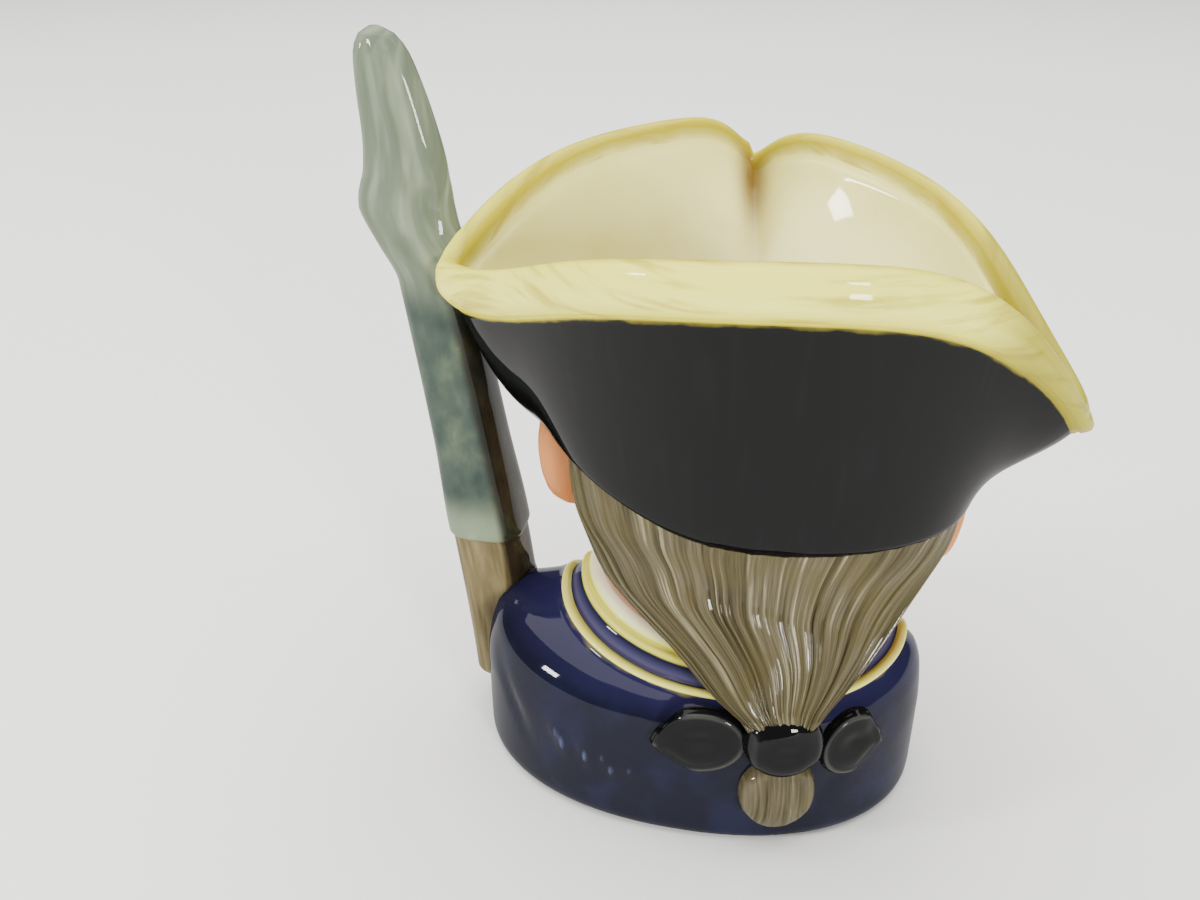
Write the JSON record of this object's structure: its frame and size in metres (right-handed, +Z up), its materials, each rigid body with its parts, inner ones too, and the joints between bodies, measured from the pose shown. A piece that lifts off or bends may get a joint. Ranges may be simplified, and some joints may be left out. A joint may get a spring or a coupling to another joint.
{
  "type": "toby jug",
  "caption": "Small glazed earthenware character jug: bust of a man in a three-cornered hat, hollow and open at the hat, with a spear for a handle.",
  "frame": {"origin": "middle of the flat foot, on the surface the jug stands on", "axes": "+Z up, the face looks along -Y, the spear handle stands on the +X side"},
  "size_m": [0.1052, 0.078, 0.113],
  "materials": {
    "glazed_earthenware": "hand-painted under a clear gloss glaze"
  },
  "bodies": {
    "root": {"toby_jug": "glazed_earthenware"}
  },
  "joints": []
}
